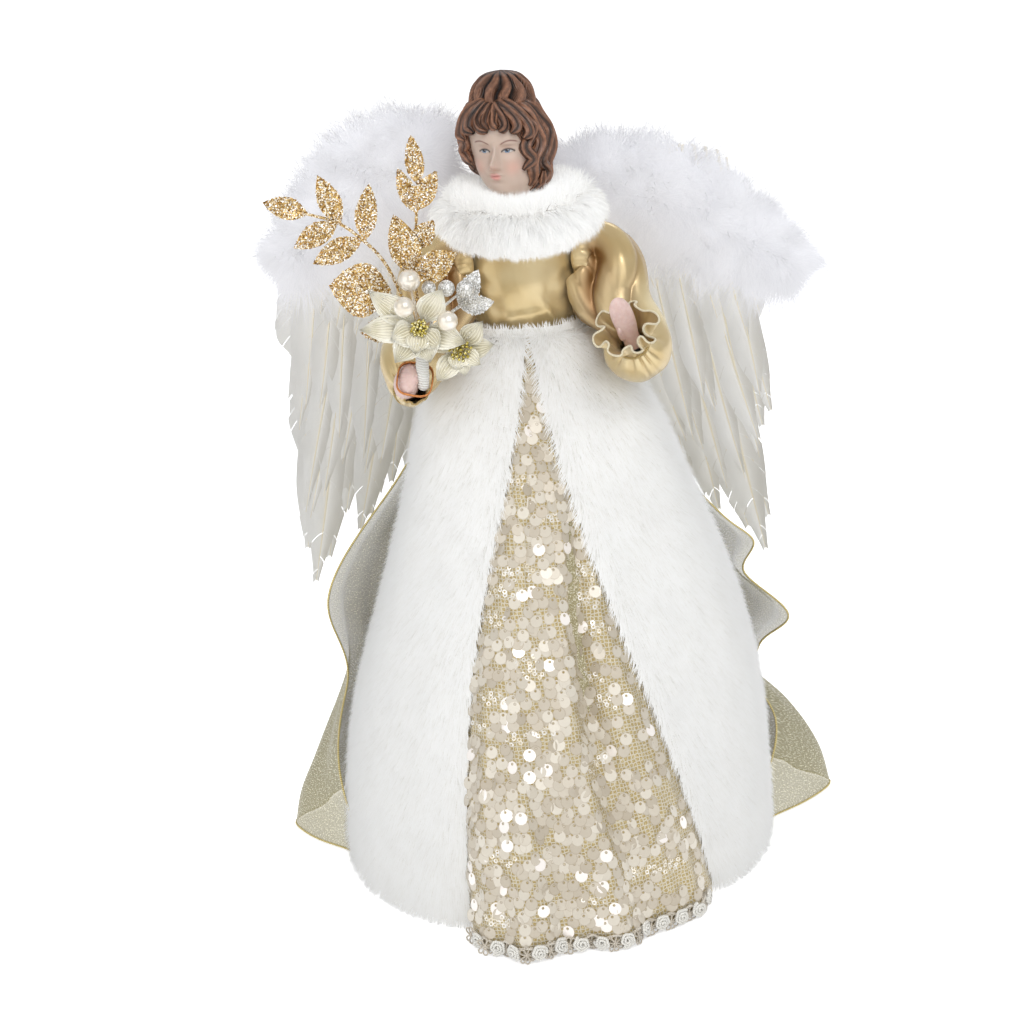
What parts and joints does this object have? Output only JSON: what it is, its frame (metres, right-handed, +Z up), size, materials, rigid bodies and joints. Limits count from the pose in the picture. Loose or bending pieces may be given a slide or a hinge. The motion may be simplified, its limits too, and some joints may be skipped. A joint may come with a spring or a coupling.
{
  "type": "angel tree topper",
  "caption": "Dressed angel doll on a hollow card cone, with feather wings, fur-trimmed sequin gown and a bouquet; slips over the tip of a tree or stands.",
  "frame": {"origin": "centre of the open mouth of the tree cone, on the surface that the cone stands on", "axes": "+Z up along the cone towards the head; the doll faces -Y, so its own left is +X"},
  "size_m": [0.2917, 0.2714, 0.4002],
  "materials": {
    "card": "plain grey-brown card",
    "pulp": "moulded pulp",
    "bisque": "painted matt cast head and hands",
    "fur": "white short-pile fur cloth",
    "satin": "gold satin",
    "lining": "gold lining on stiff net",
    "sequin": "net sewn with champagne sequins",
    "braid": "silvery rose braid",
    "organza": "sheer gold organza",
    "feather": "cream quill feathers",
    "down": "white marabou down",
    "wire": "coppery soft wire and thread",
    "glitter": "leaves coated with gold glitter",
    "petal": "pale gold organza petals",
    "silver": "silver glitter",
    "pearl": "pearl lacquer",
    "tape": "white floral tape"
  },
  "bodies": {
    "figure": {"tree_cone": "card", "torso_core": "pulp", "satin_bodice": "satin", "fur_collar": "fur", "head_casting": "bisque", "underskirt": "lining", "sequin_skirt": "sequin", "hem_braid": "braid", "fur_panel_right": "fur", "fur_panel_left": "fur", "organza_train": "organza", "wing_patch": "satin"},
    "left_arm": {"sleeve_left": "satin", "cuff_elastic_left": "wire", "hand_left": "bisque", "arm_wire_left": "wire"},
    "right_arm": {"sleeve_right": "satin", "cuff_elastic_right": "wire", "hand_right": "bisque", "arm_wire_right": "wire", "stem_bundle": "tape", "leaf_spray_out": "glitter", "leaf_spray_up": "glitter", "broad_leaves": "glitter", "poinsettia": "petal", "small_flower": "petal", "pearl_pick": "pearl", "glitter_pick": "silver", "silver_leaf": "silver", "tie_wire": "wire"},
    "left_wing": {"wing_card_left": "card", "wing_wire_left": "wire", "wing_feather_left_1": "feather", "wing_feather_left_2": "feather", "wing_feather_left_3": "feather", "wing_feather_left_4": "feather", "wing_feather_left_5": "feather", "wing_feather_left_6": "feather", "wing_feather_left_7": "feather", "wing_feather_left_8": "feather", "wing_down_left": "down"},
    "right_wing": {"wing_card_right": "card", "wing_wire_right": "wire", "wing_feather_right_1": "feather", "wing_feather_right_2": "feather", "wing_feather_right_3": "feather", "wing_feather_right_4": "feather", "wing_feather_right_5": "feather", "wing_feather_right_6": "feather", "wing_feather_right_7": "feather", "wing_feather_right_8": "feather", "wing_down_right": "down"}
  },
  "joints": [
    {"name": "left_shoulder", "type": "hinge", "parent": "figure", "child": "left_arm", "pos_m": [0.028, -0.003, 0.3064], "axis": [-1, 0, 0], "range_deg": [0, 30]},
    {"name": "right_shoulder", "type": "hinge", "parent": "figure", "child": "right_arm", "pos_m": [-0.028, -0.003, 0.3064], "axis": [-1, 0, 0], "range_deg": [0, 20]},
    {"name": "left_wing_fold", "type": "hinge", "parent": "figure", "child": "left_wing", "pos_m": [0.013, 0.02124, 0.2964], "axis": [0, 0, 1], "range_deg": [0, 30]},
    {"name": "right_wing_fold", "type": "hinge", "parent": "figure", "child": "right_wing", "pos_m": [-0.013, 0.02124, 0.2964], "axis": [0, 0, -1], "range_deg": [0, 30]}
  ]
}
